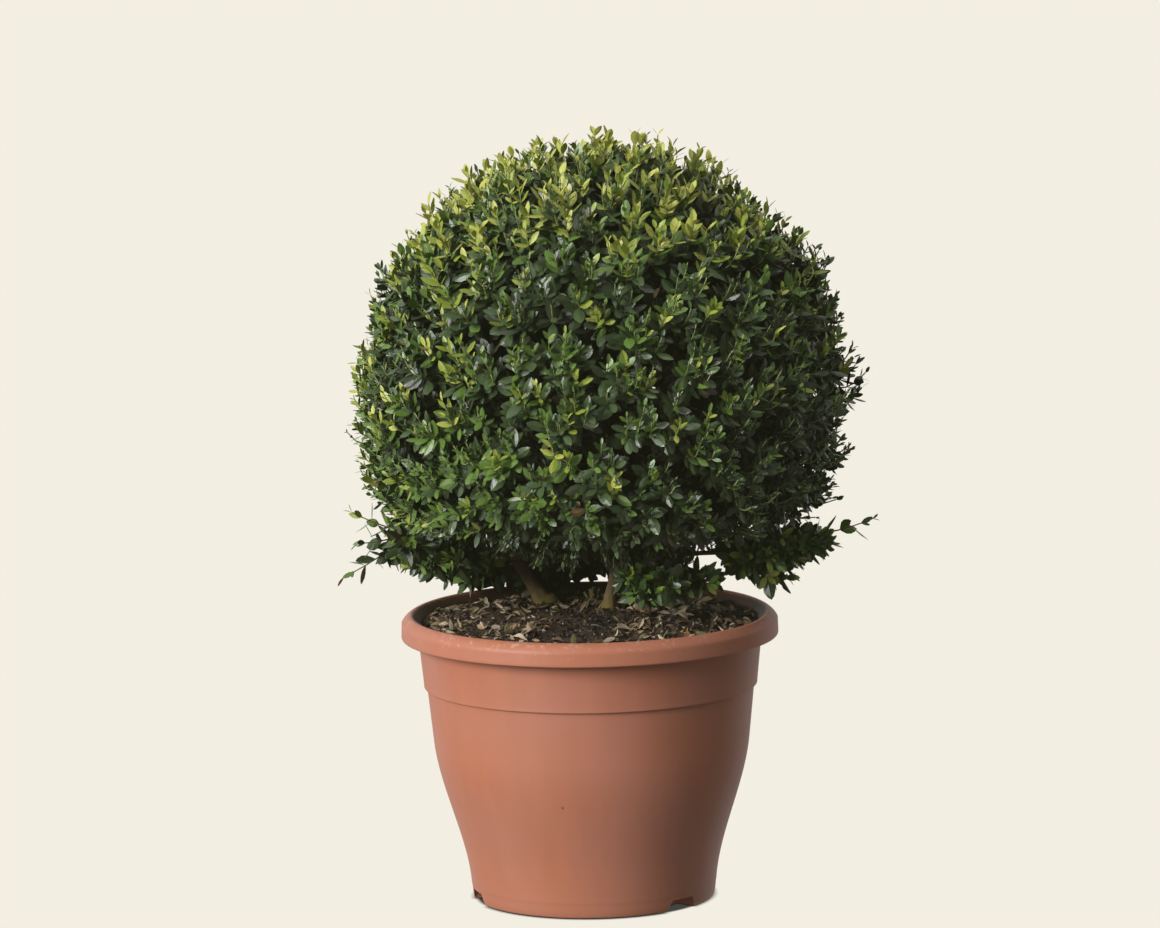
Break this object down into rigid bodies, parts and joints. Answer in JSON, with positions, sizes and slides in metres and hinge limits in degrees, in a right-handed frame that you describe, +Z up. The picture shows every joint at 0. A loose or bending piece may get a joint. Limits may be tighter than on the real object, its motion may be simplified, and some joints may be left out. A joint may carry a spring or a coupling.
{
  "type": "potted box topiary ball",
  "caption": "Clipped ball of box on short leaning stems, with loose low shoots, growing in a flared plastic plant pot filled with soil.",
  "frame": {"origin": "middle of the pot's flat underside, on the surface that the pot stands on", "axes": "+Z up along the pot's axis; -Y is the front, and +X is to the right seen from the front"},
  "size_m": [0.5686, 0.5005, 0.7596],
  "materials": {
    "pot": "satin moulded plastic, terracotta coloured",
    "soil": "loose dark potting soil with dry leaf litter",
    "bark": "rough grey-brown bark",
    "foliage": "glossy small evergreen leaves"
  },
  "bodies": {
    "root": {"pot": "pot", "soil": "soil", "stem_left": "bark", "stem_right": "bark", "bough_left_upright": "bark", "bough_left_inner": "bark", "bough_left_low": "bark", "bough_right_upright": "bark", "bough_right_inner": "bark", "bough_right_low": "bark", "bough_back_low": "bark", "bough_front_low": "bark", "bough_middle_low": "bark", "cut_stubs": "bark", "crown": "foliage", "low_foliage_left": "foliage", "low_foliage_right": "foliage", "low_foliage_back": "foliage", "low_foliage_front": "foliage", "low_foliage_middle": "foliage"}
  },
  "joints": []
}
